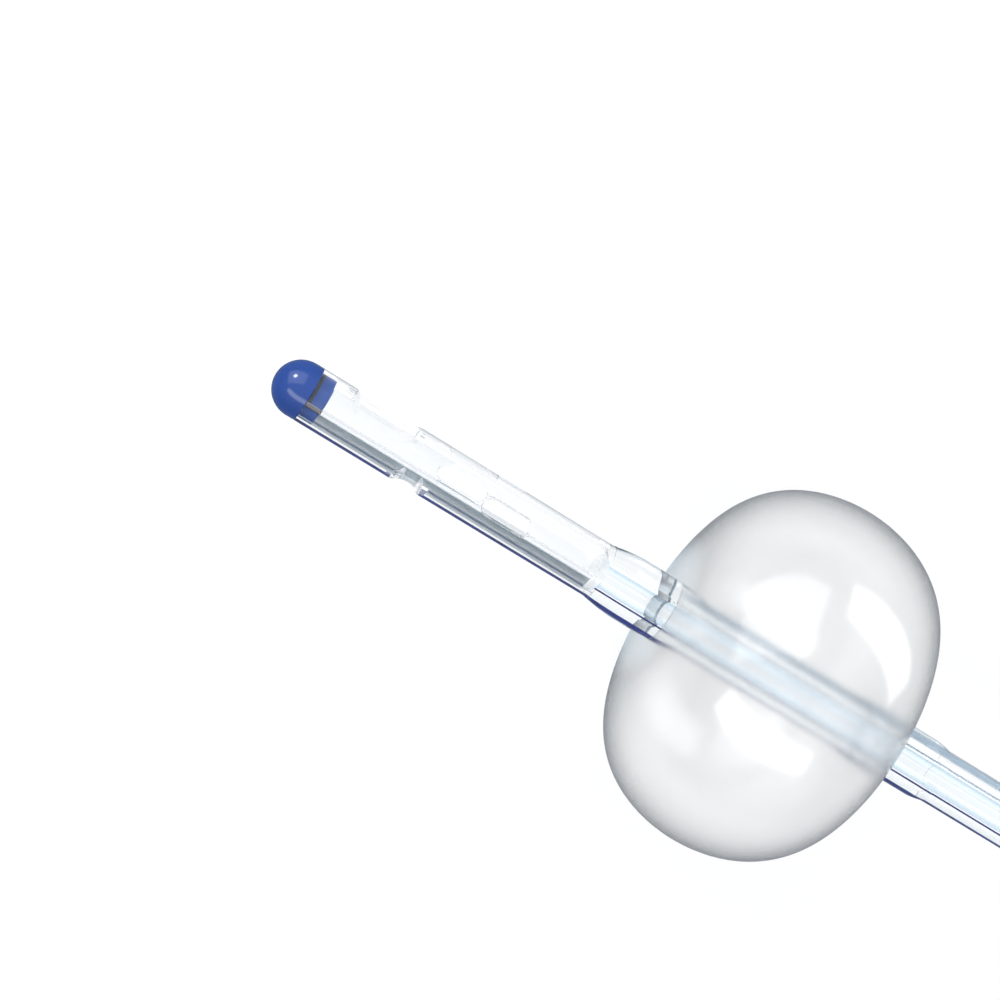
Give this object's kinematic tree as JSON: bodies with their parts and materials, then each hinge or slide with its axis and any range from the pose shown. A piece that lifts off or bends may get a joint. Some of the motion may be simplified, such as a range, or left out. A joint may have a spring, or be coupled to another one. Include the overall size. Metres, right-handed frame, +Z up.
{
  "type": "urinary catheter",
  "caption": "Clear silicone two-way urinary catheter with filled balloon, blue rounded tip, drainage eyes, forked funnel and sprung check valve.",
  "frame": {"origin": "middle of the base of the box round the whole catheter, on the surface that it lies on", "axes": "+X runs from the tip to the funnel, +Y to the side of the filling arm, +Z up"},
  "size_m": [0.4218, 0.0516, 0.0397],
  "materials": {
    "blue_silicone": "glossy deep blue silicone",
    "clear_silicone": "clear glossy silicone",
    "balloon_silicone": "thin clear silicone membrane",
    "xray_blue": "navy radiopaque line",
    "plug_silicone": "translucent silicone",
    "funnel_silicone": "translucent moulded silicone",
    "valve_white": "white moulded plastic",
    "valve_red": "red moulded plastic, the colour code of its size",
    "seal_rubber": "soft seal",
    "spring_steel": "bright spring wire"
  },
  "bodies": {
    "catheter": {"tip": "blue_silicone", "eye_tube": "clear_silicone", "xray_line_front": "xray_blue", "xray_line_middle": "xray_blue", "balloon": "balloon_silicone", "shaft": "clear_silicone", "xray_line": "xray_blue", "fill_plug_front": "plug_silicone", "fill_plug_rear": "plug_silicone", "funnel": "funnel_silicone", "valve_base": "valve_white", "valve_body": "valve_red", "valve_spring": "spring_steel"},
    "valve_poppet": {"valve_stem": "valve_white", "valve_seal": "seal_rubber"}
  },
  "joints": [
    {"name": "valve_push", "type": "slide", "parent": "catheter", "child": "valve_poppet", "axis": [-0.866, -0.5, 0.0046], "range_m": [0, 0.0015], "stiffness_N_per_m": 800, "springref_m": -0.001, "deforming": ["valve_spring"]}
  ]
}
